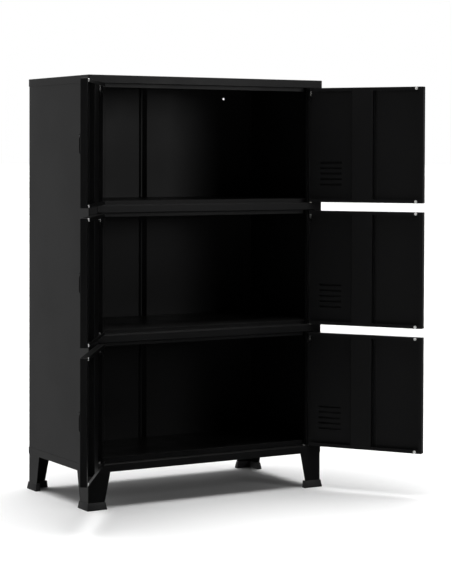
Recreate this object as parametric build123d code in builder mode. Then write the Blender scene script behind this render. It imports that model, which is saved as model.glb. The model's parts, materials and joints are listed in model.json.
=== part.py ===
from build123d import *
import os

# Tall sheet-steel cabinet on four tapered legs: three tiers, each closed by a pair of hinged
# leaves that are set flush between the stiles. Millimetres, +X to the right, +Y to the back,
# +Z up. The origin is on the floor under the middle of the carcass. The leaves stand open
# against the stiles, which is as far as their pin hinges let them swing.

os.makedirs("parts", exist_ok=True)

# ---- Overall sizes ----
width = 900.0
depth = 450.0
height = 1400.0
leg_rise = 120.0            # floor to the lower edge of the base
cap_height = 25.0
base_height = 25.0
rail_height = 25.0          # shelf rails seen between the leaves
tiers = 3

# ---- Sheet and folds ----
tray_sheet = 1.5            # cap and base
sheet = 1.2                 # panels, rails and shelves
back_sheet = 1.0
leaf_sheet = 1.0
bend = 1.5                  # centre-line radius of the folds
tray_corner = 3.0
tray_edge = 2.0             # outer radius of the folds around the cap, base and shelves

# ---- Front frame ----
pin_inset = 43.5            # outer side of the cabinet to the hinge axis
pin_setback = 5.0           # front plane to the hinge axis
jamb_reach = 10.0           # hinge axis to the jamb of the stile
stop_gap = 2.0              # closed leaf to the door stops, taken up by the magnets
stile_lip = 14.5            # door stop folded in from the jamb
stile_return = 8.0
rail_lip = 13.0             # door stops above and below a rail
base_lip = 18.0
lip_clearance = 12.0        # stile lip to the end of a rail lip
base_strip_foot = 12.0
stop_clearance = 1.0        # rail flange to the fold of the stile's stop

# ---- Shelves and back ----
shelf_skirt = 15.0
stile_clearance = 1.0       # shelf notch around the stile
flange_width = 40.0         # rear fold of a side panel, measured from its outer face
joggle_inset = 12.0         # outer face of a side panel to the step in its rear fold
joggle_depth = 11.3
swage_centre = -12.0        # pressed channel down the back panel
swage_width = 32.0
swage_floor = 5.0
swage_depth = 9.5
back_clearance = 1.0
anchor_offset = 320.0       # wall-anchor holes, either side of the middle
anchor_drop = 54.0          # below the top of the cap
anchor_diameter = 8.0
rivet_inset = 30.0
rivet_shank = 4.0
rivet_head = 9.0
rivet_rise = 1.8
rivet_edge = 1.2
rivet_share = 0.344         # height of a rivet up its tier's opening

# ---- Legs and feet ----
leg_sheet = 2.5
leg_top_width = 80.0
leg_foot_width = 60.0
leg_end_height = 3.0        # the leg stands this far above the floor, inside its foot
leg_plate = 70.0
leg_plate_thickness = 3.0
leg_corner = 2.0
foot_height = 24.0
foot_wall_top = 2.0
foot_wall_bottom = 5.5
foot_inner_top = 4.0
foot_inner_bottom = 6.0
bolt_diameter = 8.0
bolt_head = 13.0
bolt_head_height = 5.0
bolt_near = 20.0            # bolt centres, from the outer faces of the leg
bolt_far = 52.0

# ---- Leaves ----
leaf_depth = 22.0
leaf_gap = 2.2              # above and below a leaf
centre_gap = 3.0            # between two closed leaves
hinge_edge = 7.0            # leaf edge beyond the hinge axis
hinge_flange = 14.0         # depth of the fold on the hinge side
hinge_notch = 10.0
leaf_lip = 11.0
leaf_corner = 1.5
open_angle = 125.0

# ---- Stiffener down each leaf ----
hat_start = 154.0           # hinge axis to the near side of the channel
hat_width = 74.0
hat_foot = 13.0
hat_end_gap = 0.5           # each end of the channel, clear of the leaf's folds

# ---- Louvres ----
louvre_start = 31.0
louvre_length = 82.0
louvre_height = 11.5
louvre_reach = 6.0
louvre_brow = 2.0
louvre_lap = 1.5            # the hood hangs this far below the edge of its slot
louvre_end_radius = 2.5
louvre_first = 55.0
louvre_pitch = 18.6
louvre_count = 5

# ---- Hinge pins ----
pin_diameter = 5.0
pin_fit = 0.05              # radial
top_pin_reach = 4.0         # beyond the leaf gap, into the frame
top_pin_length = 42.0       # below the top of the leaf
top_pin_tail = 12.0
top_pin_bend = 5.0
collar_diameter = 7.4
collar_height = 2.5
collar_gap = 0.3
guide_drop = 28.0
guide_length = 14.0
guide_depth = 12.0
guide_thickness = 2.0
stud_height = 9.5
stud_head = 9.0
stud_head_height = 1.5
stud_head_shift = 1.5       # the head sits off centre, clear of the front sheet
washer_diameter = 10.0
washer_bore = 5.6
washer_gap = 0.05

# ---- Magnets and pulls ----
magnet_diameter = 10.0
magnet_height = 1.7
magnet_stem = 4.0
magnet_stem_length = 3.0
magnet_inset = 24.0         # free edge of the leaf to the magnet
pull_inset = 45.0           # free edge of the leaf to the pull
pull_rise = 24.0            # middle of the leaf to the pull's pivot
rose_diameter = 21.0
rose_height = 2.5
eye_width = 7.0
eye_radius = 4.5
ring_wire = 4.0
ring_stand_off = 5.5        # leaf face to the ring's pivot
ring_width = 44.0
ring_drop = 56.0
ring_corner = 14.0
ring_fit = 0.1

# ---- Places worked out from the sizes above ----
half_width = width / 2
front = -depth / 2
rear = depth / 2
web_face = half_width - tray_sheet          # outer face of a side panel
web_inner = web_face - sheet
base_top = leg_rise + base_height
cap_bottom = height - cap_height
cap_ceiling = height - tray_sheet
tray_inner_edge = tray_edge - tray_sheet    # radius inside the folds of the cap and base
opening = (cap_bottom - base_top - (tiers - 1) * rail_height) / tiers
pin_x = half_width - pin_inset
pin_y = front + pin_setback
jamb_x = pin_x + jamb_reach
stop_y = front + leaf_depth + stop_gap      # front of the door stops
lip_end = jamb_x - stile_lip                # inner edge of the stile's door stop
rail_lip_half = lip_end - lip_clearance
leaf_reach = pin_x - centre_gap / 2         # hinge axis to the free edge
leaf_height = opening - 2 * leaf_gap
skin_y = -pin_setback                       # outer face of a leaf, from the hinge axis
lip_y = skin_y + leaf_depth                 # inner plane of a leaf
rear_face = rear - tray_sheet - joggle_depth    # rear side of the side panels' flanges
panel_front = rear_face - sheet             # front side of those flanges
shelf_front = stop_y + sheet
pull_x = leaf_reach - pull_inset
magnet_x = leaf_reach - magnet_inset
pull_z = leaf_height / 2 + pull_rise
ring_y = skin_y - ring_stand_off
tier_floors = [base_top + i * (opening + rail_height) for i in range(tiers)]
rail_bottoms = [floor - rail_height for floor in tier_floors[1:]]
tier_names = ["lower", "middle", "upper"]
rail_names = ["lower", "upper"]
pin_spots = [(-pin_x, pin_y), (pin_x, pin_y)]
low = (Align.CENTER, Align.CENTER, Align.MIN)
high = (Align.CENTER, Align.CENTER, Align.MAX)


def keep(part, name):
    """Label a finished piece and write its file."""
    part.label = name
    export_step(part, f"parts/{name}.step")


def folded(points, plane, length, thickness, both=False):
    """A sheet folded along a run of points on its centre line."""
    with BuildPart() as strip:
        with BuildSketch(plane):
            with BuildLine():
                FilletPolyline(*points, radius=bend)
            trace(line_width=thickness)
        extrude(amount=length, both=both)
    return strip.part


def pan(size_x, size_y, size_z, thickness, corner, edge):
    """An upturned tray: a flat top at Z = 0 and a skirt folded down on all four sides."""
    with BuildPart() as tray:
        Box(size_x, size_y, size_z, align=high)
        fillet(tray.edges().filter_by(Axis.Z), corner)
        fillet(tray.faces().sort_by(Axis.Z)[-1].edges(), edge)
        offset(amount=-thickness, openings=tray.faces().sort_by(Axis.Z)[0])
    return tray.part


def mirrored(part, plane):
    """The same piece for the opposite side."""
    with BuildPart() as other:
        mirror(part, about=plane)
    return other.part


# ---- Cap, base and door stops ----
with BuildPart() as top_cap:
    with Locations((0, 0, height)):
        add(pan(width, depth, cap_height, tray_sheet, tray_corner, tray_edge))
keep(top_cap.part, "top_cap")

half_sheet = sheet / 2
stop_line = stop_y + half_sheet
with BuildPart() as top_stop:
    add(folded([(front + tray_sheet, cap_bottom + half_sheet),
                (stop_line, cap_bottom + half_sheet),
                (stop_line, cap_bottom - rail_lip)],
               Plane.YZ, web_face - tray_corner, sheet, both=True))
    for side in (-1, 1):
        with Locations((side * (rail_lip_half + web_face) / 2, stop_y, cap_bottom)):
            Box(web_face - rail_lip_half, 4 * sheet, 2 * rail_lip, align=high, mode=Mode.SUBTRACT)
    with Locations(*[(x, y, cap_bottom) for x, y in pin_spots]):
        Cylinder(pin_diameter / 2 + pin_fit, 4 * sheet, mode=Mode.SUBTRACT)
keep(top_stop.part, "top_stop_strip")

with BuildPart() as base_tray:
    with Locations((0, 0, base_top)):
        add(pan(width, depth, base_height, tray_sheet, tray_corner, tray_edge))
    with Locations(*[(x, y, base_top) for x, y in pin_spots]):
        Cylinder(pin_diameter / 2 + pin_fit, 4 * tray_sheet, mode=Mode.SUBTRACT)
    for reach in (bolt_near, bolt_far):
        other = bolt_near + bolt_far - reach
        with Locations((0, 0, base_top)):
            with GridLocations(2 * (web_face - reach), 2 * (-front - tray_sheet - other), 2, 2):
                Cylinder(bolt_diameter / 2, 4 * tray_sheet, mode=Mode.SUBTRACT)
keep(base_tray.part, "base_tray")

with BuildPart() as base_stop:
    add(folded([(stop_line + base_strip_foot, base_top + half_sheet),
                (stop_line, base_top + half_sheet),
                (stop_line, base_top + base_lip)],
               Plane.YZ, rail_lip_half, sheet, both=True))
keep(base_stop.part, "base_stop_strip")

# ---- Side panels: stile, jamb and door stop in front, stepped flange behind ----
web_line = web_face - half_sheet
flange_line = rear_face - half_sheet
rear_line = rear - tray_sheet - half_sheet
rear_fold = [(web_face - flange_width, flange_line),
             (web_face - joggle_inset, flange_line),
             (web_face - joggle_inset, rear_line),
             (web_line, rear_line)]
front_fold = [(web_line, front + half_sheet),
              (jamb_x + half_sheet, front + half_sheet),
              (jamb_x + half_sheet, stop_line),
              (lip_end + half_sheet, stop_line),
              (lip_end + half_sheet, stop_y + stile_return)]
rivet_heights = [floor + rivet_share * opening for floor in tier_floors]
rivet_x = half_width - rivet_inset
with BuildPart() as side_right:
    add(folded(rear_fold + front_fold, Plane.XY.offset(base_top), cap_bottom - base_top, sheet))
    add(folded(rear_fold + [(web_line, stop_line + sheet)],
               Plane.XY.offset(cap_bottom), cap_ceiling - tray_inner_edge - cap_bottom, sheet))
    with Locations(*[Location((rivet_x, rear_face, z), (90, 0, 0)) for z in rivet_heights]):
        Cylinder(rivet_shank / 2, 4 * sheet, mode=Mode.SUBTRACT)
keep(side_right.part, "side_panel_right")

with BuildPart() as side_left:
    add(mirrored(side_right.part, Plane.YZ))
keep(side_left.part, "side_panel_left")

# ---- Back panel with its pressed channel ----
back_line = rear_face + back_sheet / 2
back_half = web_face - joggle_inset - half_sheet - back_clearance
with BuildPart() as back_panel:
    add(folded([(-back_half, back_line),
                (swage_centre - swage_width / 2, back_line),
                (swage_centre - swage_floor / 2, back_line + swage_depth),
                (swage_centre + swage_floor / 2, back_line + swage_depth),
                (swage_centre + swage_width / 2, back_line),
                (back_half, back_line)],
               Plane.XY.offset(base_top), cap_ceiling - base_top, back_sheet))
    anchor_z = height - anchor_drop
    with Locations(*[Location((x, back_line, anchor_z), (90, 0, 0))
                     for x in (-anchor_offset, anchor_offset)]):
        Cylinder(anchor_diameter / 2, 4 * back_sheet, mode=Mode.SUBTRACT)
    with Locations(*[Location((side * rivet_x, back_line, z), (90, 0, 0))
                     for side in (-1, 1) for z in rivet_heights]):
        Cylinder(rivet_shank / 2, 4 * back_sheet, mode=Mode.SUBTRACT)
keep(back_panel.part, "back_panel")

with BuildPart() as rivet:
    Cylinder(rivet_shank / 2, sheet + back_sheet, align=high)
    Cylinder(rivet_head / 2, rivet_rise, align=low)
    fillet(rivet.faces().sort_by(Axis.Z)[-1].edges(), rivet_edge)
with BuildPart() as back_rivets:
    with Locations(*[Location((side * rivet_x, panel_front, z), (90, 0, 0))
                     for side in (-1, 1) for z in rivet_heights]):
        add(rivet.part)
keep(back_rivets.part, "back_rivets")

# ---- Shelf rails and shelves ----
for name, rail_z in zip(rail_names, rail_bottoms):
    rail_top = rail_z + rail_height
    with BuildPart() as rail:
        add(folded([(stop_line, rail_top + rail_lip),
                    (stop_line, rail_top - half_sheet),
                    (front + half_sheet, rail_top - half_sheet),
                    (front + half_sheet, rail_z + half_sheet),
                    (stop_line, rail_z + half_sheet),
                    (stop_line, rail_z - rail_lip)],
                   Plane.YZ, jamb_x, sheet, both=True))
        for side in (-1, 1):
            end = side * (rail_lip_half + jamb_x) / 2
            with Locations((end, stop_y - stop_clearance, rail_z + rail_height / 2)):
                Box(jamb_x - rail_lip_half, rail_lip, rail_height + 4 * rail_lip,
                    align=(Align.CENTER, Align.MIN, Align.CENTER), mode=Mode.SUBTRACT)
        with Locations(*[(x, y, rail_z + rail_height / 2) for x, y in pin_spots]):
            Cylinder(pin_diameter / 2 + pin_fit, 2 * rail_height, mode=Mode.SUBTRACT)
    keep(rail.part, f"{name}_shelf_rail")

    shelf_depth = panel_front - shelf_front
    shelf_y = (panel_front + shelf_front) / 2
    notch_x = web_inner - lip_end + stile_clearance
    notch_y = stop_y + stile_return + stile_clearance - shelf_front
    with BuildPart() as shelf:
        with Locations((0, shelf_y, rail_top + rail_lip)):
            add(pan(2 * web_inner, shelf_depth, shelf_skirt, sheet, tray_corner, tray_edge))
        for side in (-1, 1):
            with Locations((side * (web_inner - notch_x / 2), shelf_front + notch_y / 2, rail_top)):
                Box(notch_x, notch_y, 4 * shelf_skirt, mode=Mode.SUBTRACT)
    keep(shelf.part, f"{name}_shelf")

# ---- Legs, feet and their bolts, made for the front right corner ----
leg_face_y = front + tray_sheet
leg_top = base_top - tray_sheet
wing_top = leg_top - tray_inner_edge
with BuildPart() as leg:
    with BuildSketch(Plane.XZ.offset(-leg_face_y)):
        with BuildLine():
            Polyline((web_face, wing_top), (web_face, leg_end_height),
                     (web_face - leg_foot_width, leg_end_height),
                     (web_face - leg_foot_width, foot_height),
                     (web_face - leg_top_width, leg_rise),
                     (web_face - leg_top_width, wing_top), close=True)
        make_face()
    extrude(amount=-leg_sheet)
    with BuildSketch(Plane.YZ.offset(web_face)):
        with BuildLine():
            Polyline((leg_face_y, wing_top), (leg_face_y, leg_end_height),
                     (leg_face_y + leg_foot_width, leg_end_height),
                     (leg_face_y + leg_foot_width, foot_height),
                     (leg_face_y + leg_top_width, leg_rise),
                     (leg_face_y + leg_top_width, wing_top), close=True)
        make_face()
    extrude(amount=-leg_sheet)
    corner_edge = leg.edges().filter_by(Axis.Z).group_by(Axis.X)[-1].sort_by(Axis.Y)[0]
    fillet(corner_edge, leg_corner)
    with Locations((web_face - leg_corner, leg_face_y + leg_corner, leg_top)):
        Box(leg_plate, leg_plate, leg_plate_thickness, align=(Align.MAX, Align.MIN, Align.MAX))
    with Locations((web_face - bolt_near, leg_face_y + bolt_far, leg_top),
                   (web_face - bolt_far, leg_face_y + bolt_near, leg_top)):
        Cylinder(bolt_diameter / 2, 4 * leg_plate_thickness, mode=Mode.SUBTRACT)


def boot_outline(outer, inner, reach):
    """Corner points of a foot's outline: an angle around the end of the leg."""
    x, y = web_face + outer, leg_face_y - outer
    arm = reach + outer
    across = outer + leg_sheet + inner
    return [(x, y), (x, y + arm), (x - across, y + arm), (x - across, y + across),
            (x - arm, y + across), (x - arm, y)]


with BuildPart() as foot:
    with BuildSketch():
        with BuildLine():
            Polyline(*boot_outline(foot_wall_bottom, foot_inner_bottom,
                                   leg_foot_width + foot_wall_bottom), close=True)
        make_face()
    with BuildSketch(Plane.XY.offset(foot_height)):
        with BuildLine():
            Polyline(*boot_outline(foot_wall_top, foot_inner_top,
                                   leg_foot_width + foot_wall_top), close=True)
        make_face()
    loft(ruled=True)
    add(leg.part, mode=Mode.SUBTRACT)

with BuildPart() as bolt:
    with BuildSketch(Plane.XY.offset(leg_top - leg_plate_thickness)):
        RegularPolygon(bolt_head / 2, 6, major_radius=False)
    extrude(amount=-bolt_head_height)
    with Locations((0, 0, leg_top - leg_plate_thickness)):
        Cylinder(bolt_diameter / 2, leg_plate_thickness + tray_sheet, align=low)

with BuildPart() as leg_bolts:
    with Locations(*[(side * (web_face - a), end * (rear - tray_sheet - b), 0)
                     for side in (-1, 1) for end in (-1, 1)
                     for a, b in ((bolt_near, bolt_far), (bolt_far, bolt_near))]):
        add(bolt.part)
keep(leg_bolts.part, "leg_bolts")

for item, base in (("leg", leg.part), ("foot", foot.part)):
    for end, end_name in ((base, "front"), (mirrored(base, Plane.XZ), "rear")):
        with BuildPart() as right_side:
            add(end)
        keep(right_side.part, f"{item}_{end_name}_right")
        with BuildPart() as left_side:
            mirror(end, about=Plane.YZ)
        keep(left_side.part, f"{item}_{end_name}_left")

# ---- Fixed hinge studs under each leaf, and the washers the leaves turn on ----
with BuildPart() as studs:
    with Locations(*[(x, y, z) for z in tier_floors for x, y in pin_spots]):
        Cylinder(pin_diameter / 2, stud_height, align=low)
    with Locations(*[(x, y, base_top) for x, y in pin_spots]):
        Cylinder(pin_diameter / 2, tray_sheet, align=high)
    for z in tier_floors[1:]:
        with Locations(*[(x, y, z) for x, y in pin_spots]):
            Cylinder(pin_diameter / 2, sheet + stud_head_height, align=high)
        with Locations(*[(x, y + stud_head_shift, z - sheet) for x, y in pin_spots]):
            Cylinder(stud_head / 2, stud_head_height, align=high)
keep(studs.part, "fixed_hinge_studs")

with BuildPart() as washers:
    with Locations(*[(x, y, z) for z in tier_floors for x, y in pin_spots]):
        Cylinder(washer_diameter / 2, leaf_gap - washer_gap, align=low)
        Cylinder(washer_bore / 2, 2 * leaf_gap, align=low, mode=Mode.SUBTRACT)
keep(washers.part, "hinge_washers")

# ---- One left leaf, closed, with its hinge axis on Z and its lower edge at Z = 0 ----
leaf_width = leaf_reach + hinge_edge
leaf_middle = (leaf_reach - hinge_edge) / 2

with BuildPart() as louvre:
    with BuildSketch(Plane.YZ):
        with BuildLine():
            Polyline((skin_y + leaf_sheet, louvre_height), (skin_y - louvre_reach, louvre_brow),
                     (skin_y - louvre_reach, 0), (skin_y + leaf_sheet, 0), close=True)
        make_face()
    extrude(amount=louvre_length / 2, both=True)
    slopes = louvre.edges().filter_by(
        lambda e: abs(e.tangent_at(0.5).Y) > 0.1 and abs(e.tangent_at(0.5).Z) > 0.1)
    fillet(slopes, louvre_end_radius)

with BuildPart() as louvre_pocket:
    with BuildSketch(Plane.YZ):
        with BuildLine():
            Polyline((skin_y + leaf_sheet, louvre_height - 2 * leaf_sheet),
                     (skin_y - louvre_reach + leaf_sheet, louvre_brow),
                     (skin_y - louvre_reach + leaf_sheet, -leaf_sheet),
                     (skin_y, -leaf_sheet), (skin_y, louvre_lap),
                     (skin_y + leaf_sheet, louvre_lap), close=True)
        make_face()
    extrude(amount=louvre_length / 2 - leaf_sheet, both=True)

louvre_spots = [(louvre_start + louvre_length / 2, 0, louvre_first + i * louvre_pitch)
                for i in range(louvre_count)]
guide_z = leaf_height - guide_drop
with BuildPart() as leaf:
    with Locations(Location((leaf_middle, skin_y, leaf_height / 2), (90, 0, 0))):
        add(pan(leaf_width, leaf_height, leaf_depth, leaf_sheet, leaf_corner, leaf_corner))
    # lips turned in along the top, the bottom and the free edge
    with BuildSketch(Plane.XZ.offset(-lip_y)):
        with Locations((leaf_middle, leaf_height / 2)):
            Rectangle(leaf_width - leaf_sheet, leaf_height - leaf_sheet)
            Rectangle(leaf_width - 2 * leaf_lip, leaf_height - 2 * leaf_lip, mode=Mode.SUBTRACT)
    extrude(amount=leaf_sheet)
    # the hinge side is shallower, so that its corner clears the door stop
    with Locations((hinge_notch - hinge_edge, skin_y + hinge_flange, leaf_height / 2)):
        Box(2 * hinge_notch, leaf_depth, 2 * leaf_height,
            align=(Align.MAX, Align.MIN, Align.CENTER), mode=Mode.SUBTRACT)
    with Locations((-hinge_edge, skin_y, guide_z)):
        Box(guide_length, guide_depth, guide_thickness,
            align=(Align.MIN, Align.MIN, Align.CENTER))
    with Locations((0, 0, leaf_height / 2)):
        Cylinder(pin_diameter / 2 + pin_fit, 2 * leaf_height, mode=Mode.SUBTRACT)
    with Locations(*[Location((magnet_x, lip_y, z), (90, 0, 0))
                     for z in (leaf_lip / 2, leaf_height - leaf_lip / 2)]):
        Cylinder(magnet_stem / 2, 4 * leaf_sheet, mode=Mode.SUBTRACT)
    with Locations(*louvre_spots):
        add(louvre.part)
    with Locations(*louvre_spots):
        add(louvre_pocket.part, mode=Mode.SUBTRACT)

hat_face = lip_y - leaf_sheet - leaf_sheet / 2
hat_base = skin_y + leaf_sheet + leaf_sheet / 2
hat_near = hat_start + leaf_sheet / 2
hat_far = hat_start + hat_width - leaf_sheet / 2
with BuildPart() as hat:
    add(folded([(hat_near - hat_foot, hat_base), (hat_near, hat_base), (hat_near, hat_face),
                (hat_far, hat_face), (hat_far, hat_base), (hat_far + hat_foot, hat_base)],
               Plane.XY.offset(leaf_sheet + hat_end_gap),
               leaf_height - 2 * (leaf_sheet + hat_end_gap), leaf_sheet))

with BuildPart() as magnets:
    for z in (leaf_lip / 2, leaf_height - leaf_lip / 2):
        with Locations(Location((magnet_x, lip_y, z), (-90, 0, 0))):
            Cylinder(magnet_diameter / 2, magnet_height, align=low)
            Cylinder(magnet_stem / 2, magnet_stem_length, align=high)

with BuildPart() as rose:
    with Locations(Location((pull_x, skin_y, pull_z), (90, 0, 0))):
        Cylinder(rose_diameter / 2, rose_height, align=low)
    rim = rose.faces().sort_by(Axis.Y)[0].edges()
    fillet(rim, rose_height / 3)
    with BuildSketch(Plane.YZ.offset(pull_x)):
        with Locations((ring_y, pull_z)):
            Circle(eye_radius)
        with Locations(((skin_y + ring_y) / 2, pull_z)):
            Rectangle(skin_y - ring_y, 2 * eye_radius)
    extrude(amount=eye_width / 2, both=True)
    with BuildSketch(Plane.YZ.offset(pull_x)):
        with Locations((ring_y, pull_z)):
            Circle(ring_wire / 2 + ring_fit)
    extrude(amount=eye_width, both=True, mode=Mode.SUBTRACT)

with BuildPart() as ring:
    with BuildLine(Plane.XZ.offset(-ring_y)) as ring_path:
        half_ring = ring_width / 2
        FilletPolyline((pull_x, pull_z), (pull_x + half_ring, pull_z),
                       (pull_x + half_ring, pull_z - ring_drop), (pull_x, pull_z - ring_drop),
                       radius=ring_corner)
    with BuildSketch(Plane.YZ.offset(pull_x)):
        with Locations((ring_y, pull_z)):
            Circle(ring_wire / 2)
    sweep()
    mirror(about=Plane.YZ.offset(pull_x))

with BuildPart() as top_pin:
    pin_foot = leaf_height - top_pin_length + pin_diameter / 2
    with BuildLine(Plane.YZ):
        FilletPolyline((0, leaf_height + leaf_gap + top_pin_reach), (0, pin_foot),
                       (top_pin_tail, pin_foot), radius=top_pin_bend)
    with BuildSketch(Plane.XY.offset(leaf_height + leaf_gap + top_pin_reach)):
        Circle(pin_diameter / 2)
    sweep()
    with Locations((0, 0, leaf_height - leaf_sheet - collar_gap)):
        Cylinder(collar_diameter / 2, collar_height, align=high)

# ---- The six doors, each swung open about its own hinge axis ----
door_pieces = [("", leaf.part), ("_stiffener", hat.part), ("_magnets", magnets.part),
               ("_pull_rose", rose.part), ("_ring", ring.part), ("_top_pin", top_pin.part)]
for suffix, left_piece in door_pieces:
    right_piece = mirrored(left_piece, Plane.YZ)
    for tier, floor in zip(tier_names, tier_floors):
        for side, piece, x, turn in (("left", left_piece, -pin_x, -open_angle),
                                     ("right", right_piece, pin_x, open_angle)):
            with BuildPart() as placed:
                with Locations(Location((x, pin_y, floor + leaf_gap), (0, 0, turn))):
                    add(piece)
            keep(placed.part, f"door_{tier}_{side}{suffix}")
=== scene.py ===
"""Tall black sheet-steel cabinet with three tiers of double doors.

The frame holds every panel, leaf, leg and pin. This file dresses them in their finishes, models
the small parts that need softer shapes than the frame gives them, and sets up the studio.
"""
import json
import logging
import math
from dataclasses import dataclass
from enum import Enum
from typing import Callable, Sequence

import bpy
from mathutils import Matrix, Vector


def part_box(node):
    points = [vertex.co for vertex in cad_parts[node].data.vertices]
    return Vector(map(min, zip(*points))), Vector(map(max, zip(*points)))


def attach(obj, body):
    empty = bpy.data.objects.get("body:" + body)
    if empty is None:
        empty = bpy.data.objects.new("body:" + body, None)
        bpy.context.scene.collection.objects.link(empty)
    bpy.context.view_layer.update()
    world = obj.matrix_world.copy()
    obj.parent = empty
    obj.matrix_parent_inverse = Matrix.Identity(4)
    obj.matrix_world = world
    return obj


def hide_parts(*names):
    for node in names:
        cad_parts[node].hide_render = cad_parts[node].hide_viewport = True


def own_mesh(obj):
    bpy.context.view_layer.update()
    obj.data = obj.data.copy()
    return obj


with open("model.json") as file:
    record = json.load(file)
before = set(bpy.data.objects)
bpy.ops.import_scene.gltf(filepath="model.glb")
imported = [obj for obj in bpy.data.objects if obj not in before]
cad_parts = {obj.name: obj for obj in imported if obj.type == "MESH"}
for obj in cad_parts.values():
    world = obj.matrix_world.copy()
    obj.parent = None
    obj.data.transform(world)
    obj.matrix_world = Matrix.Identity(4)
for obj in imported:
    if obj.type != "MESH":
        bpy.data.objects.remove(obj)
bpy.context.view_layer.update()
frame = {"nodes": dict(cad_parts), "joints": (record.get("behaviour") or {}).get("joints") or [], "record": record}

MM = 0.001
TIERS = ("lower", "middle", "upper")
SIDES = ("left", "right")
SMOOTH_ANGLE = math.radians(35)
BARE_METAL = (0.07, 0.07, 0.072, 1.0)
DUST = (0.16, 0.155, 0.145, 1.0)
SAME_WAY = 0.9

log = logging.getLogger("cabinet")

FaceTest = Callable[[Vector, Vector], bool]


class Slot(Enum):
    """Material slots of the record."""

    COAT = "black_powder_coat"
    PULL = "pull_metal"
    STEEL = "bright_steel"
    NYLON = "washer_nylon"
    RUBBER = "foot_plastic"


# ---------------------------------------------------------------------------
# Node trees
# ---------------------------------------------------------------------------


class Tree:
    """A node tree that is filled by short calls."""

    def __init__(self, tree: bpy.types.NodeTree) -> None:
        """Keeps the tree.

        Args:
            tree: The node tree to add nodes to.
        """
        self.tree = tree

    def node(self, kind: str, **settings: object) -> bpy.types.Node:
        """Adds a node.

        Args:
            kind: The node's type, such as "ShaderNodeMath".
            **settings: Attributes set on the node.

        Returns:
            The new node.
        """
        made = self.tree.nodes.new(kind)
        for name, value in settings.items():
            setattr(made, name, value)
        return made

    def link(self, source: bpy.types.NodeSocket, target: bpy.types.NodeSocket) -> None:
        """Joins two sockets."""
        self.tree.links.new(source, target)

    def feed(self, value: object, socket: bpy.types.NodeSocket) -> None:
        """Links a socket, or sets a plain value.

        Args:
            value: An output socket, or a number or colour.
            socket: The input that takes it.
        """
        if isinstance(value, bpy.types.NodeSocket):
            self.link(value, socket)
        else:
            socket.default_value = value

    def maths(self, operation: str, *values: object, clamp: bool = False) -> bpy.types.NodeSocket:
        """Adds a maths node.

        Args:
            operation: The node's operation.
            *values: What its inputs take.
            clamp: Whether the result is held between 0 and 1.

        Returns:
            The result's socket.
        """
        made = self.node("ShaderNodeMath", operation=operation, use_clamp=clamp)
        for value, socket in zip(values, made.inputs):
            self.feed(value, socket)
        return made.outputs[0]

    def spread(self, value: object, low: float, high: float, to_low: float = 0.0,
               to_high: float = 1.0) -> bpy.types.NodeSocket:
        """Maps a range of values to another, smoothly and held at its ends.

        Args:
            value: What is mapped.
            low: Start of the range.
            high: End of the range.
            to_low: What low becomes.
            to_high: What high becomes.

        Returns:
            The result's socket.
        """
        made = self.node("ShaderNodeMapRange", interpolation_type="SMOOTHSTEP", clamp=True)
        for item, socket in zip((value, low, high, to_low, to_high), made.inputs):
            self.feed(item, socket)
        return made.outputs[0]

    def noise(self, where: bpy.types.NodeSocket, scale: object, detail: float = 2.0,
              rough: float = 0.5) -> bpy.types.NodeSocket:
        """Adds a noise texture.

        Args:
            where: The coordinates it reads.
            scale: Cells per metre.
            detail: Octaves.
            rough: Share of each finer octave.

        Returns:
            The noise value's socket.
        """
        made = self.node("ShaderNodeTexNoise")
        self.link(where, made.inputs["Vector"])
        self.feed(scale, made.inputs["Scale"])
        made.inputs["Detail"].default_value = detail
        made.inputs["Roughness"].default_value = rough
        return made.outputs["Fac"]

    def blend(self, share: object, first: object, second: object) -> bpy.types.NodeSocket:
        """Mixes two colours.

        Args:
            share: How much of the second shows.
            first: The first colour.
            second: The second colour.

        Returns:
            The mixed colour's socket.
        """
        made = self.node("ShaderNodeMix", data_type="RGBA")
        self.feed(share, made.inputs[0])
        self.feed(first, made.inputs[6])
        self.feed(second, made.inputs[7])
        return made.outputs[2]

    def place(self) -> bpy.types.NodeSocket:
        """Gives the object coordinates."""
        return self.node("ShaderNodeTexCoord").outputs["Object"]


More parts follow.
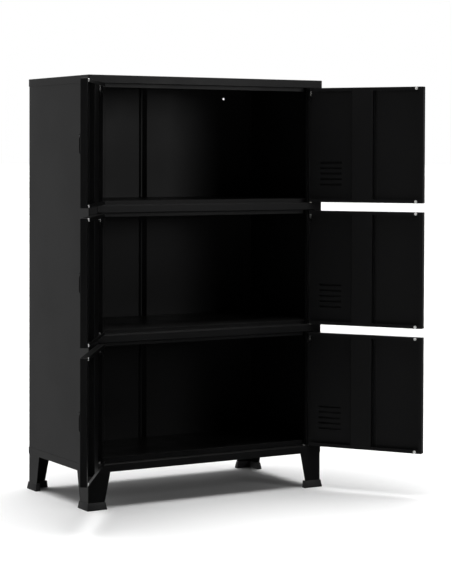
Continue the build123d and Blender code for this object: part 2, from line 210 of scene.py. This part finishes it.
class Effects:
    """Node groups that several finishes share."""

    @staticmethod
    def _group(name: str, inputs: Sequence[tuple[str, float]],
               outputs: Sequence[str]) -> tuple[bpy.types.NodeTree, Tree, object, object]:
        """Starts a group of value sockets.

        Args:
            name: The group's name.
            inputs: Names and defaults of its inputs.
            outputs: Names of its outputs.

        Returns:
            The group, a tree to fill it, its input node and its output node.
        """
        group = bpy.data.node_groups.new(name, "ShaderNodeTree")
        for title, default in inputs:
            socket = group.interface.new_socket(title, in_out="INPUT", socket_type="NodeSocketFloat")
            socket.default_value = default
        for title in outputs:
            group.interface.new_socket(title, in_out="OUTPUT", socket_type="NodeSocketFloat")
        tree = Tree(group)
        return group, tree, tree.node("NodeGroupInput"), tree.node("NodeGroupOutput")

    @classmethod
    def grain(cls) -> bpy.types.NodeTree:
        """Fine leather-like texture of a baked coat.

        Returns:
            A group with Height, from a small cell and a wider flow, and Cloud, a slow drift.
        """
        group, tree, given, out = cls._group(
            "coat_grain", (("Cell Scale", 900.0), ("Flow Scale", 140.0), ("Drift Scale", 3.0)),
            ("Height", "Cloud"))
        where = tree.place()
        cells = tree.noise(where, given.outputs["Cell Scale"], 2.0, 0.55)
        flow = tree.noise(where, given.outputs["Flow Scale"], 1.0, 0.4)
        drift = tree.noise(where, given.outputs["Drift Scale"], 3.0, 0.6)
        height = tree.maths("ADD", tree.maths("MULTIPLY", cells, 0.6), tree.maths("MULTIPLY", flow, 0.4))
        tree.link(height, out.inputs["Height"])
        tree.link(tree.spread(drift, 0.3, 0.7), out.inputs["Cloud"])
        return group

    @classmethod
    def edge(cls) -> bpy.types.NodeTree:
        """Where the coat is thin along folds and cut edges.

        Returns:
            A group with Mask, 1 on an edge and 0 on a flat.
        """
        group, tree, given, out = cls._group(
            "thin_edge", (("Width", 0.0012), ("Break Scale", 60.0)), ("Mask",))
        rounded = tree.node("ShaderNodeBevel", samples=4)
        tree.link(given.outputs["Width"], rounded.inputs["Radius"])
        flat = tree.node("ShaderNodeNewGeometry")
        dot = tree.node("ShaderNodeVectorMath", operation="DOT_PRODUCT")
        tree.link(rounded.outputs[0], dot.inputs[0])
        tree.link(flat.outputs["Normal"], dot.inputs[1])
        edge = tree.spread(dot.outputs["Value"], 0.995, 0.80)
        breaks = tree.spread(tree.noise(tree.place(), given.outputs["Break Scale"], 3.0), 0.35, 0.65)
        tree.link(tree.maths("MULTIPLY", edge, breaks), out.inputs["Mask"])
        return group

    @classmethod
    def dust(cls) -> bpy.types.NodeTree:
        """Light settled dust on what faces up.

        Returns:
            A group with Mask, which is patchy and 0 on anything upright.
        """
        group, tree, given, out = cls._group(
            "settled_dust", (("Patch Scale", 9.0), ("Speck Scale", 420.0)), ("Mask",))
        split = tree.node("ShaderNodeSeparateXYZ")
        tree.link(tree.node("ShaderNodeNewGeometry").outputs["Normal"], split.inputs[0])
        up = tree.spread(split.outputs["Z"], 0.55, 0.95)
        where = tree.place()
        patches = tree.spread(tree.noise(where, given.outputs["Patch Scale"], 4.0, 0.6), 0.25, 0.8)
        specks = tree.spread(tree.noise(where, given.outputs["Speck Scale"], 1.0), 0.45, 0.7)
        both = tree.maths("MULTIPLY", patches, tree.maths("ADD", tree.maths("MULTIPLY", specks, 0.6), 0.4))
        tree.link(tree.maths("MULTIPLY", up, both), out.inputs["Mask"])
        return group


# ---------------------------------------------------------------------------
# Finishes
# ---------------------------------------------------------------------------


@dataclass(frozen=True)
class Finish:
    """What every finish has.

    Attributes:
        name: The material's name.
        colour: Its main colour, linear.
        roughness: How dull it is on the whole.
    """

    name: str
    colour: tuple[float, float, float]
    roughness: float

    def start(self) -> tuple[bpy.types.Material, Tree, bpy.types.Node]:
        """Makes an empty material.

        Returns:
            The material, its tree and its shader.
        """
        material = bpy.data.materials.new(self.name)
        material.use_nodes = True
        material.diffuse_color = (*self.colour, 1.0)
        tree = Tree(material.node_tree)
        return material, tree, material.node_tree.nodes["Principled BSDF"]

    def shade(self, share: float) -> tuple[float, float, float, float]:
        """The main colour, lighter or darker by a share."""
        return (*(channel * share for channel in self.colour), 1.0)

    @staticmethod
    def texture(tree: Tree, shader: bpy.types.Node, height: bpy.types.NodeSocket, strength: float,
                depth: float) -> None:
        """Raises the surface along a height.

        Args:
            tree: The material's tree.
            shader: Its shader.
            height: The height's socket, 0 to 1.
            strength: The bump's strength.
            depth: What a height of 1 is, in metres.
        """
        bump = tree.node("ShaderNodeBump")
        bump.inputs["Strength"].default_value = strength
        bump.inputs["Distance"].default_value = depth
        tree.link(height, bump.inputs["Height"])
        tree.link(bump.outputs[0], shader.inputs["Normal"])


@dataclass(frozen=True)
class PowderCoat(Finish):
    """Baked powder coat on sheet steel.

    Attributes:
        grain: Height of the texture in metres.
        worn: How far a thin edge lightens.
        dusty: How far settled dust shows.
        specular: The shader's specular level.
    """

    grain: float = 0.00002
    worn: float = 0.35
    dusty: float = 0.12
    specular: float = 0.24

    def build(self, groups: dict[str, bpy.types.NodeTree]) -> bpy.types.Material:
        """Makes the material.

        Args:
            groups: The shared effects by name.

        Returns:
            The finished material.
        """
        material, tree, shader = self.start()
        grain = tree.node("ShaderNodeGroup", node_tree=groups["grain"])
        edge = tree.node("ShaderNodeGroup", node_tree=groups["edge"])
        dust = tree.node("ShaderNodeGroup", node_tree=groups["dust"])
        base = tree.blend(grain.outputs["Cloud"], self.shade(0.88), self.shade(1.12))
        worn = tree.blend(tree.maths("MULTIPLY", edge.outputs["Mask"], self.worn), base, BARE_METAL)
        dusted = tree.blend(tree.maths("MULTIPLY", dust.outputs["Mask"], self.dusty), worn, DUST)
        tree.link(dusted, shader.inputs["Base Color"])
        rough = tree.spread(grain.outputs["Cloud"], 0.0, 1.0, self.roughness - 0.03,
                            self.roughness + 0.04)
        rough = tree.maths("ADD", rough, tree.maths("MULTIPLY", dust.outputs["Mask"], 0.25), clamp=True)
        tree.link(rough, shader.inputs["Roughness"])
        shader.inputs["Specular IOR Level"].default_value = self.specular
        self.texture(tree, shader, grain.outputs["Height"], 0.6, self.grain)
        return material


@dataclass(frozen=True)
class PlatedSteel(Finish):
    """Bright zinc or nickel plate with fine turning marks.

    Attributes:
        marks: Depth of the marks in metres.
        bare: How metallic it is; the rest is its pale passivated skin.
    """

    marks: float = 0.00001
    bare: float = 0.5

    def build(self, groups: dict[str, bpy.types.NodeTree]) -> bpy.types.Material:
        """Makes the material.

        Args:
            groups: The shared effects by name.

        Returns:
            The finished material.
        """
        material, tree, shader = self.start()
        shader.inputs["Metallic"].default_value = self.bare
        grain = tree.node("ShaderNodeGroup", node_tree=groups["grain"])
        grain.inputs["Cell Scale"].default_value = 2400.0
        grain.inputs["Flow Scale"].default_value = 600.0
        grain.inputs["Drift Scale"].default_value = 60.0
        tree.link(tree.blend(grain.outputs["Cloud"], self.shade(0.85), self.shade(1.05)),
                  shader.inputs["Base Color"])
        tree.link(tree.spread(grain.outputs["Cloud"], 0.0, 1.0, self.roughness - 0.05,
                              self.roughness + 0.1), shader.inputs["Roughness"])
        self.texture(tree, shader, grain.outputs["Height"], 0.4, self.marks)
        return material


@dataclass(frozen=True)
class MouldedPlastic(Finish):
    """Plastic with a spark-eroded texture.

    Attributes:
        grain: Height of the texture in metres.
        dusty: How far settled dust shows.
        specular: The shader's specular level.
    """

    grain: float = 0.00004
    dusty: float = 0.4
    specular: float = 0.3

    def build(self, groups: dict[str, bpy.types.NodeTree]) -> bpy.types.Material:
        """Makes the material.

        Args:
            groups: The shared effects by name.

        Returns:
            The finished material.
        """
        material, tree, shader = self.start()
        grain = tree.node("ShaderNodeGroup", node_tree=groups["grain"])
        grain.inputs["Cell Scale"].default_value = 1500.0
        grain.inputs["Flow Scale"].default_value = 300.0
        grain.inputs["Drift Scale"].default_value = 25.0
        dust = tree.node("ShaderNodeGroup", node_tree=groups["dust"])
        base = tree.blend(grain.outputs["Cloud"], self.shade(0.85), self.shade(1.2))
        dusted = tree.blend(tree.maths("MULTIPLY", dust.outputs["Mask"], self.dusty), base, DUST)
        tree.link(dusted, shader.inputs["Base Color"])
        tree.link(tree.spread(grain.outputs["Height"], 0.3, 0.7, self.roughness - 0.06,
                              self.roughness + 0.06), shader.inputs["Roughness"])
        shader.inputs["Specular IOR Level"].default_value = self.specular
        self.texture(tree, shader, grain.outputs["Height"], 0.7, self.grain)
        return material


class Paintshop:
    """Makes each finish once and lays it on pieces."""

    def __init__(self) -> None:
        """Builds the shared effects and the materials."""
        groups = {"grain": Effects.grain(), "edge": Effects.edge(), "dust": Effects.dust()}
        self.materials = {
            Slot.COAT: PowderCoat("satin_black_coat", (0.0042, 0.0042, 0.0044), 0.36).build(groups),
            Slot.PULL: PowderCoat("black_enamel", (0.0042, 0.0042, 0.0044), 0.32, grain=0.000008,
                                  worn=0.6).build(groups),
            Slot.STEEL: PlatedSteel("bright_plate", (0.9, 0.9, 0.88), 0.34).build(groups),
            Slot.NYLON: MouldedPlastic("natural_nylon", (0.55, 0.53, 0.47), 0.5, dusty=0.1).build(groups),
            Slot.RUBBER: MouldedPlastic("black_moulding", (0.014, 0.014, 0.0145), 0.55).build(groups),
        }

    def paint(self, piece: bpy.types.Object, slot: Slot) -> None:
        """Gives a piece one finish all over.

        Args:
            piece: A mesh object.
            slot: Which finish.
        """
        piece.data.materials.clear()
        piece.data.materials.append(self.materials[slot])

    def paint_frame(self) -> None:
        """Gives every CAD node the finish its slot names."""
        for row in frame["record"]["subparts"]:
            node = frame["nodes"][row["node"]]
            slot = Slot(row["material_slot"])
            for place in node.material_slots:
                place.material = self.materials[slot]
            log.info("finish %s on %s", slot.value, row["node"])


# ---------------------------------------------------------------------------
# Modelling by hand
# ---------------------------------------------------------------------------


class Bench:
    """Modelling operators on one piece at a time."""

    @staticmethod
    def clear() -> None:
        """Deselects every object."""
        if bpy.context.object and bpy.context.object.mode != "OBJECT":
            bpy.ops.object.mode_set(mode="OBJECT")
        bpy.ops.object.select_all(action="DESELECT")

    @staticmethod
    def active(piece: bpy.types.Object) -> None:
        """Selects one object alone and makes it active."""
        Bench.clear()
        piece.select_set(True)
        bpy.context.view_layer.objects.active = piece

    @staticmethod
    def pick(piece: bpy.types.Object, test: FaceTest) -> int:
        """Selects faces by place and normal, and enters edit mode.

        Args:
            piece: The mesh object.
            test: Takes a face's centre and normal.

        Returns:
            How many faces are selected.
        """
        Bench.active(piece)
        bpy.ops.object.mode_set(mode="EDIT")
        bpy.ops.mesh.select_mode(type="FACE")
        bpy.ops.mesh.select_all(action="DESELECT")
        bpy.ops.object.mode_set(mode="OBJECT")
        count = 0
        for face in piece.data.polygons:
            face.select = test(face.center, face.normal)
            count += face.select
        bpy.ops.object.mode_set(mode="EDIT")
        return count

    @staticmethod
    def done(piece: bpy.types.Object, name: str) -> None:
        """Leaves edit mode, applies the place and rounds the shading.

        Args:
            piece: The mesh object.
            name: The piece's name.
        """
        Bench.active(piece)
        bpy.ops.object.transform_apply(location=True, rotation=True, scale=True)
        bpy.ops.object.shade_smooth_by_angle(angle=SMOOTH_ANGLE)
        piece.name = name
        piece.data.name = name

    @staticmethod
    def bevel(piece: bpy.types.Object, width: float, segments: int, angle: float = 30.0) -> None:
        """Rounds a piece's sharp edges for good.

        Args:
            piece: The mesh object.
            width: Width of the round.
            segments: Steps across it.
            angle: Least angle of an edge that is rounded, in degrees.
        """
        Bench.active(piece)
        made = piece.modifiers.new("round", "BEVEL")
        made.width = width
        made.segments = segments
        made.limit_method = "ANGLE"
        made.angle_limit = math.radians(angle)
        bpy.ops.object.modifier_apply(modifier=made.name)

    @staticmethod
    def copy(piece: bpy.types.Object, name: str, place: Matrix) -> bpy.types.Object:
        """Copies a piece with its own mesh and puts it in place.

        Args:
            piece: The pattern.
            name: The copy's name.
            place: Where it goes; a mirror image has its faces turned back out.

        Returns:
            The copy.
        """
        mesh = piece.data.copy()
        mesh.name = name
        mesh.transform(place)
        if place.determinant() < 0:
            mesh.flip_normals()
        made = bpy.data.objects.new(name, mesh)
        bpy.context.scene.collection.objects.link(made)
        return made

    @staticmethod
    def join(pieces: Sequence[bpy.types.Object]) -> bpy.types.Object:
        """Joins pieces into the first one.

        Args:
            pieces: Mesh objects.

        Returns:
            The joined object.
        """
        Bench.clear()
        for piece in pieces:
            piece.select_set(True)
        bpy.context.view_layer.objects.active = pieces[0]
        bpy.ops.object.join()
        return pieces[0]

    @staticmethod
    def scrap(*pieces: bpy.types.Object) -> None:
        """Throws patterns away."""
        for piece in pieces:
            bpy.data.objects.remove(piece)


@dataclass
class DoorPlace:
    """Where one leaf hangs, and how it is turned at rest.

    Attributes:
        tier: Which tier.
        side: Left or right.
    """

    tier: str
    side: str

    def __post_init__(self) -> None:
        """Reads the leaf's hinge from the frame."""
        self.body = f"door_{self.tier}_{self.side}"
        hinge = next(j for j in frame["joints"] if j["child"] == self.body)
        way = hinge["axis"][2]
        shut = math.radians(hinge["range_deg"][0])
        turn = Matrix.Rotation(-shut * way, 4, "Z")
        flip = Matrix.Diagonal((-1 if self.side == "right" else 1, 1, 1, 1))
        self.matrix = Matrix.Translation(hinge["pos_m"]) @ turn @ flip

    def own_box(self, node: str) -> tuple[Vector, Vector]:
        """A node's box in the frame of a shut left leaf with its hinge axis on Z.

        Args:
            node: A CAD node of this leaf.

        Returns:
            Lowest and highest corner.
        """
        back = self.matrix.inverted()
        points = [back @ v.co for v in frame["nodes"][node].data.vertices]
        return (Vector([min(p[i] for p in points) for i in range(3)]),
                Vector([max(p[i] for p in points) for i in range(3)]))


@dataclass
class CatchMagnets:
    """Round magnetic catches on a leaf's inner lips: a plated cup around its core.

    Attributes:
        rim: Width of the cup's rim.
        well: How far the groove is sunk.
        round_over: Radius of its edges.
        facets: Sides of its circle.
    """

    rim: float = 1.3 * MM
    well: float = 0.5 * MM
    round_over: float = 0.35 * MM
    facets: int = 48

    def pattern(self, radius: float, rise: float) -> bpy.types.Object:
        """Models one cup, standing on the lip and facing +Y, at the origin.

        Args:
            radius: Outer radius.
            rise: How far it stands out of the lip.

        Returns:
            The cup.
        """
        Bench.clear()
        bpy.ops.mesh.primitive_cylinder_add(vertices=self.facets, radius=radius, depth=rise,
                                            location=(0, rise / 2, 0), rotation=(-math.pi / 2, 0, 0))
        cup = bpy.context.object
        bpy.ops.object.transform_apply(location=True, rotation=True, scale=True)
        Bench.pick(cup, lambda c, n: n.y > SAME_WAY)
        bpy.ops.mesh.inset(thickness=self.rim)
        bpy.ops.mesh.extrude_region_move(TRANSFORM_OT_translate={"value": (0, -self.well, 0)})
        bpy.ops.mesh.inset(thickness=self.rim / 2)
        bpy.ops.mesh.extrude_region_move(TRANSFORM_OT_translate={"value": (0, self.well * 0.7, 0)})
        bpy.ops.object.mode_set(mode="OBJECT")
        Bench.bevel(cup, self.round_over, 3, 50.0)
        return cup

    def build(self, door: DoorPlace, shop: Paintshop) -> None:
        """Puts both catches on a leaf.

        Args:
            door: The leaf.
            shop: The finishes.
        """
        node = door.body + "_magnets"
        low, high = door.own_box(node)
        leaf_low, leaf_high = door.own_box(door.body)
        radius = (high.x - low.x) / 2
        rise = high.y - leaf_high.y
        cup = self.pattern(radius, rise)
        spots = [Vector(((low.x + high.x) / 2, leaf_high.y, z)) for z in (low.z + radius, high.z - radius)]
        cups = [Bench.copy(cup, f"{node}_{i}", door.matrix @ Matrix.Translation(spot))
                for i, spot in enumerate(spots)]
        piece = Bench.join(cups)
        Bench.done(piece, f"{door.body}_catch_cups")
        Bench.scrap(cup)
        shop.paint(piece, Slot.STEEL)
        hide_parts(node)
        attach(piece, door.body)


@dataclass
class PinSpring:
    """Coil spring that holds a leaf's top pin up in the frame.

    Attributes:
        wire: Radius of the wire.
        coil: Radius of the coil, to the middle of the wire.
        turns: How many turns it has.
        steps: Steps in each turn.
        guide_top: Top of the leaf down to the guide it stands on.
        collar_foot: Top of the leaf down to the collar it bears on.
        slack: Gap at either end.
        facets: Sides of the wire.
        travel: How far the pin slides; not used.
    """

    wire: float = 0.45 * MM
    coil: float = 3.25 * MM
    turns: int = 7
    steps: int = 20
    guide_top: float = 27.0 * MM
    collar_foot: float = 3.8 * MM
    slack: float = 0.4 * MM
    facets: int = 8
    travel: float = 9.0 * MM

    def build(self, door: DoorPlace, shop: Paintshop) -> None:
        """Winds the spring and slips it over the pin.

        Args:
            door: The leaf.
            shop: The finishes.
        """
        top = door.own_box(door.body)[1].z
        foot = top - self.guide_top + self.slack
        head = top - self.collar_foot - self.slack
        length = head - foot - 2 * self.wire
        Bench.clear()
        bpy.ops.mesh.primitive_circle_add(vertices=self.facets, radius=self.wire, fill_type="NOTHING",
                                          location=(self.coil, 0, foot + self.wire),
                                          rotation=(math.pi / 2, 0, 0))
        piece = bpy.context.object
        bpy.ops.object.transform_apply(location=True, rotation=True, scale=True)
        wound = piece.modifiers.new("wound", "SCREW")
        wound.axis = "Z"
        wound.angle = math.tau
        wound.screw_offset = length / self.turns
        wound.iterations = self.turns
        wound.steps = wound.render_steps = self.steps
        bpy.ops.object.modifier_apply(modifier=wound.name)
        bpy.ops.object.mode_set(mode="EDIT")
        bpy.ops.mesh.select_all(action="SELECT")
        bpy.ops.mesh.fill_holes(sides=self.facets)
        bpy.ops.mesh.normals_make_consistent(inside=False)
        bpy.ops.object.mode_set(mode="OBJECT")
        made = Bench.copy(piece, f"{door.body}_pin_spring", door.matrix)
        Bench.scrap(piece)
        Bench.done(made, f"{door.body}_pin_spring")
        shop.paint(made, Slot.STEEL)
        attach(made, door.body)
        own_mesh(made)


@dataclass
class WeldMarks:
    """Spot-weld dimples where a stiffener's feet are joined to its leaf.

    Attributes:
        radius: Outer radius of a dimple.
        height: How far its ring stands out.
        foot: Width of a stiffener's foot.
        sheet: Thickness of the stiffener.
        count: Dimples in a row.
        inset: End of the stiffener to the first one.
        facets: Sides of its circle.
    """

    radius: float = 2.6 * MM
    height: float = 0.22 * MM
    foot: float = 13.0 * MM
    sheet: float = 1.0 * MM
    count: int = 5
    inset: float = 26.0 * MM
    facets: int = 24

    def pattern(self) -> bpy.types.Object:
        """Models one dimple, facing +Y, at the origin.

        Returns:
            A low ring around a hollow.
        """
        Bench.clear()
        bpy.ops.mesh.primitive_circle_add(vertices=self.facets, radius=self.radius, fill_type="NGON",
                                          rotation=(-math.pi / 2, 0, 0))
        mark = bpy.context.object
        bpy.ops.object.transform_apply(location=True, rotation=True, scale=True)
        Bench.pick(mark, lambda c, n: True)
        bpy.ops.mesh.extrude_region_move(TRANSFORM_OT_translate={"value": (0, self.height, 0)})
        bpy.ops.transform.resize(value=(0.82, 1.0, 0.82))
        bpy.ops.mesh.inset(thickness=self.radius * 0.2)
        bpy.ops.mesh.extrude_region_move(TRANSFORM_OT_translate={"value": (0, -self.height * 0.7, 0)})
        bpy.ops.transform.resize(value=(0.8, 1.0, 0.8))
        bpy.ops.object.mode_set(mode="OBJECT")
        return mark

    def build(self, door: DoorPlace, shop: Paintshop) -> None:
        """Marks both feet of a leaf's stiffener.

        Args:
            door: The leaf.
            shop: The finishes.
        """
        low, high = door.own_box(door.body + "_stiffener")
        face = low.y + self.sheet
        mark = self.pattern()
        pitch = (high.z - low.z - 2 * self.inset) / (self.count - 1)
        spots = [Vector((x, face, low.z + self.inset + i * pitch))
                 for x in (low.x + self.foot / 2, high.x - self.foot / 2) for i in range(self.count)]
        marks = [Bench.copy(mark, f"{door.body}_mark_{i}", door.matrix @ Matrix.Translation(spot))
                 for i, spot in enumerate(spots)]
        piece = Bench.join(marks)
        Bench.done(piece, f"{door.body}_weld_marks")
        Bench.scrap(mark)
        shop.paint(piece, Slot.COAT)
        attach(piece, door.body)


@dataclass
class Boots:
    """Moulded boots on the ends of the legs: an angle that flares towards the floor.

    Attributes:
        wall_top: Thickness of the wall at the top.
        wall_foot: Thickness of the wall at the floor.
        arm_depth: Width of the space inside each arm.
        lip: Height of the upright band at the floor.
        round_over: Radius of its edges.
    """

    wall_top: float = 2.0 * MM
    wall_foot: float = 5.5 * MM
    arm_depth: float = 12.0 * MM
    lip: float = 3.2 * MM
    round_over: float = 1.0 * MM

    def build(self, end: str, side: str, shop: Paintshop) -> None:
        """Models one boot in the place of its frame solid.

        Args:
            end: Front or rear.
            side: Left or right.
            shop: The finishes.
        """
        node = f"foot_{end}_{side}"
        low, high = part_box(node)
        low, high = Vector(low), Vector(high)
        middle = (low + high) / 2
        size = high - low
        out_x = 1 if side == "right" else -1
        out_y = 1 if end == "rear" else -1
        Bench.clear()
        bpy.ops.mesh.primitive_grid_add(x_subdivisions=2, y_subdivisions=2, size=1.0,
                                        location=(middle.x, middle.y, low.z))
        piece = bpy.context.object
        piece.scale = (size.x, size.y, 1.0)
        bpy.ops.object.transform_apply(location=True, rotation=True, scale=True)
        # the middle lines move out, which leaves two narrow arms
        arm = self.arm_depth + self.wall_foot
        for vertex in piece.data.vertices:
            if abs(vertex.co.x - middle.x) < MM:
                vertex.co.x = middle.x + out_x * (size.x / 2 - arm)
            if abs(vertex.co.y - middle.y) < MM:
                vertex.co.y = middle.y + out_y * (size.y / 2 - arm)
        inner = Vector((middle.x - out_x * MM, middle.y - out_y * MM))
        Bench.pick(piece, lambda c, n: (c.x - inner.x) * out_x < 0 and (c.y - inner.y) * out_y < 0)
        bpy.ops.mesh.delete(type="FACE")
        bpy.ops.mesh.select_all(action="SELECT")
        flare = self.wall_foot - self.wall_top
        self._lift(piece, self.lip, middle, out_x, out_y, 0.0)
        self._lift(piece, size.z - self.lip, middle, out_x, out_y, flare)
        bpy.ops.mesh.select_all(action="SELECT")
        bpy.ops.mesh.normals_make_consistent(inside=False)
        bpy.ops.mesh.dissolve_limited(angle_limit=math.radians(0.5))
        bpy.ops.object.mode_set(mode="OBJECT")
        Bench.bevel(piece, self.round_over, 3, 25.0)
        Bench.done(piece, f"boot_{end}_{side}")
        shop.paint(piece, Slot.RUBBER)
        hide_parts(node)
        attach(piece, "carcass")

    @staticmethod
    def _lift(piece: bpy.types.Object, rise: float, middle: Vector, out_x: int, out_y: int,
              flare: float) -> None:
        """Extrudes the selected outline upwards and draws its walls in.

        Args:
            piece: The boot, in edit mode.
            rise: How far up.
            middle: Middle of the boot's box.
            out_x: Which way is outwards in X; not used.
            out_y: Which way is outwards in Y; not used.
            flare: How far each wall comes in over the rise.
        """
        bpy.ops.mesh.extrude_region_move(TRANSFORM_OT_translate={"value": (0, 0, rise)})
        if flare:
            low = [min(v.co[i] for v in piece.data.vertices) for i in range(2)]
            high = [max(v.co[i] for v in piece.data.vertices) for i in range(2)]
            scale = [(high[i] - low[i] - 2 * flare) / (high[i] - low[i]) for i in range(2)]
            bpy.ops.transform.resize(value=(scale[0], scale[1], 1.0),
                                     center_override=(middle.x, middle.y, middle.z))


# ---------------------------------------------------------------------------
# Studio
# ---------------------------------------------------------------------------


@dataclass
class Softbox:
    """A large soft light.

    Attributes:
        name: What it is for.
        place: Where it hangs.
        aim: What it points at.
        size: Its width and height.
        power: Watts.
    """

    name: str
    place: tuple[float, float, float]
    aim: tuple[float, float, float]
    size: tuple[float, float]
    power: float

    def build(self) -> None:
        """Hangs the light."""
        data = bpy.data.lights.new(self.name, "AREA")
        data.shape = "RECTANGLE"
        data.size, data.size_y = self.size
        data.energy = self.power
        light = bpy.data.objects.new(self.name, data)
        light.location = self.place
        way = Vector(self.aim) - Vector(self.place)
        light.rotation_euler = way.to_track_quat("-Z", "Y").to_euler()
        bpy.context.scene.collection.objects.link(light)


@dataclass
class Studio:
    """Pale floor, soft light and the camera.

    Attributes:
        eye: Where the camera stands.
        yaw: Its turn from +Y towards +X, in radians.
        pitch: How far it looks down, in radians.
        roll: Its roll, in radians.
        lens: Focal length in millimetres on a 36 mm sensor.
        shift: The lens shift, as shares of the width.
        bright_sky: Strength of the surrounding light behind the cabinet.
        dim_sky: Strength of the surrounding light in front of it.
        bright_way: Direction in which the surrounding light is strongest.
        backdrop: Brightness of the backdrop where it is looked at.
        overhead_strength: Strength of the light from above.
        overhead_spread: Angle across that light, in radians.
        floor_size: Length of the floor's sides.
        floor_colour: The floor's colour, linear.
    """

    eye: tuple[float, float, float] = (-3.029591, -5.290251, 1.144004)
    yaw: float = 0.5112625
    pitch: float = 0.0253921
    roll: float = 0.0022354
    lens: float = 141.704
    shift: tuple[float, float] = (0.146018, -0.203540)
    bright_sky: float = 0.48
    dim_sky: float = 0.015
    bright_way: tuple[float, float, float] = (-0.34, 0.89, 0.30)
    backdrop: float = 1.0
    overhead_strength: float = 3.6
    overhead_spread: float = math.radians(50)
    floor_size: float = 400.0
    floor_colour: tuple[float, float, float] = (0.9, 0.9, 0.9)

    def camera(self) -> None:
        """Sets up the camera."""
        data = bpy.data.cameras.new("camera")
        data.sensor_fit = "HORIZONTAL"
        data.sensor_width = 36.0
        data.lens = self.lens
        data.shift_x, data.shift_y = self.shift
        data.clip_start, data.clip_end = 0.1, 200.0
        forward = Vector((math.sin(self.yaw) * math.cos(self.pitch),
                          math.cos(self.yaw) * math.cos(self.pitch), -math.sin(self.pitch)))
        level = Vector((math.cos(self.yaw), -math.sin(self.yaw), 0.0))
        above = level.cross(forward)
        right = math.cos(self.roll) * level + math.sin(self.roll) * above
        up = math.cos(self.roll) * above - math.sin(self.roll) * level
        turn = Matrix((right, up, -forward)).transposed().to_4x4()
        camera = bpy.data.objects.new("camera", data)
        camera.matrix_world = Matrix.Translation(self.eye) @ turn
        bpy.context.scene.collection.objects.link(camera)
        bpy.context.scene.camera = camera

    def floor(self) -> None:
        """Lays the floor."""
        Bench.clear()
        bpy.ops.mesh.primitive_plane_add(size=self.floor_size, location=(0, 0, 0))
        floor = bpy.context.object
        floor.name = "studio_floor"
        material = bpy.data.materials.new("pale_floor")
        material.use_nodes = True
        shader = material.node_tree.nodes["Principled BSDF"]
        shader.inputs["Base Color"].default_value = (*self.floor_colour, 1.0)
        shader.inputs["Roughness"].default_value = 0.9
        shader.inputs["Specular IOR Level"].default_value = 0.1
        floor.data.materials.append(material)
        floor.visible_glossy = False

    def overhead(self) -> None:
        """Hangs a soft light straight above, even over the whole floor."""
        data = bpy.data.lights.new("overhead", "SUN")
        data.energy = self.overhead_strength
        data.angle = self.overhead_spread
        light = bpy.data.objects.new("overhead", data)
        bpy.context.scene.collection.objects.link(light)

    def surround(self) -> None:
        """Lights the room from behind, dimly in front, with a bright backdrop all round."""
        world = bpy.data.worlds.new("studio")
        world.use_nodes = True
        tree = Tree(world.node_tree)
        ground = world.node_tree.nodes["Background"]
        ground.inputs["Color"].default_value = (1.0, 1.0, 1.0, 1.0)
        seen = tree.node("ShaderNodeLightPath").outputs["Is Camera Ray"]
        along = tree.node("ShaderNodeVectorMath", operation="DOT_PRODUCT")
        tree.link(tree.node("ShaderNodeTexCoord").outputs["Generated"], along.inputs[0])
        along.inputs[1].default_value = self.bright_way
        sky = tree.spread(along.outputs["Value"], -0.55, 0.75, self.dim_sky, self.bright_sky)
        unseen = tree.maths("MULTIPLY", sky, tree.maths("SUBTRACT", 1.0, seen))
        strength = tree.maths("ADD", unseen, tree.maths("MULTIPLY", seen, self.backdrop))
        tree.link(strength, ground.inputs["Strength"])
        bpy.context.scene.world = world

    def build(self) -> None:
        """Sets up everything that isn't the cabinet."""
        self.floor()
        self.surround()
        self.overhead()
        Softbox(name="front_right", place=(2.2, -4.6, 2.3), aim=(-0.3, 0.2, 1.0), size=(2.0, 2.4),
                power=34.0).build()
        self.camera()
        bpy.context.scene.view_settings.view_transform = "Standard"
        bpy.context.scene.view_settings.look = "None"


# ---------------------------------------------------------------------------
# The whole
# ---------------------------------------------------------------------------


def main() -> None:
    """Dresses the frame, adds the small parts and sets up the studio."""
    logging.basicConfig(level=logging.INFO, format="%(name)s: %(message)s")
    shop = Paintshop()
    shop.paint_frame()
    for tier in TIERS:
        for side in SIDES:
            door = DoorPlace(tier, side)
            CatchMagnets().build(door, shop)
            PinSpring().build(door, shop)
            WeldMarks().build(door, shop)
            log.info("small parts on %s", door.body)
    for end in ("front", "rear"):
        for side in SIDES:
            Boots().build(end, side, shop)
            log.info("boot %s %s", end, side)
    Studio().build()


if __name__ == "__main__":
    main()
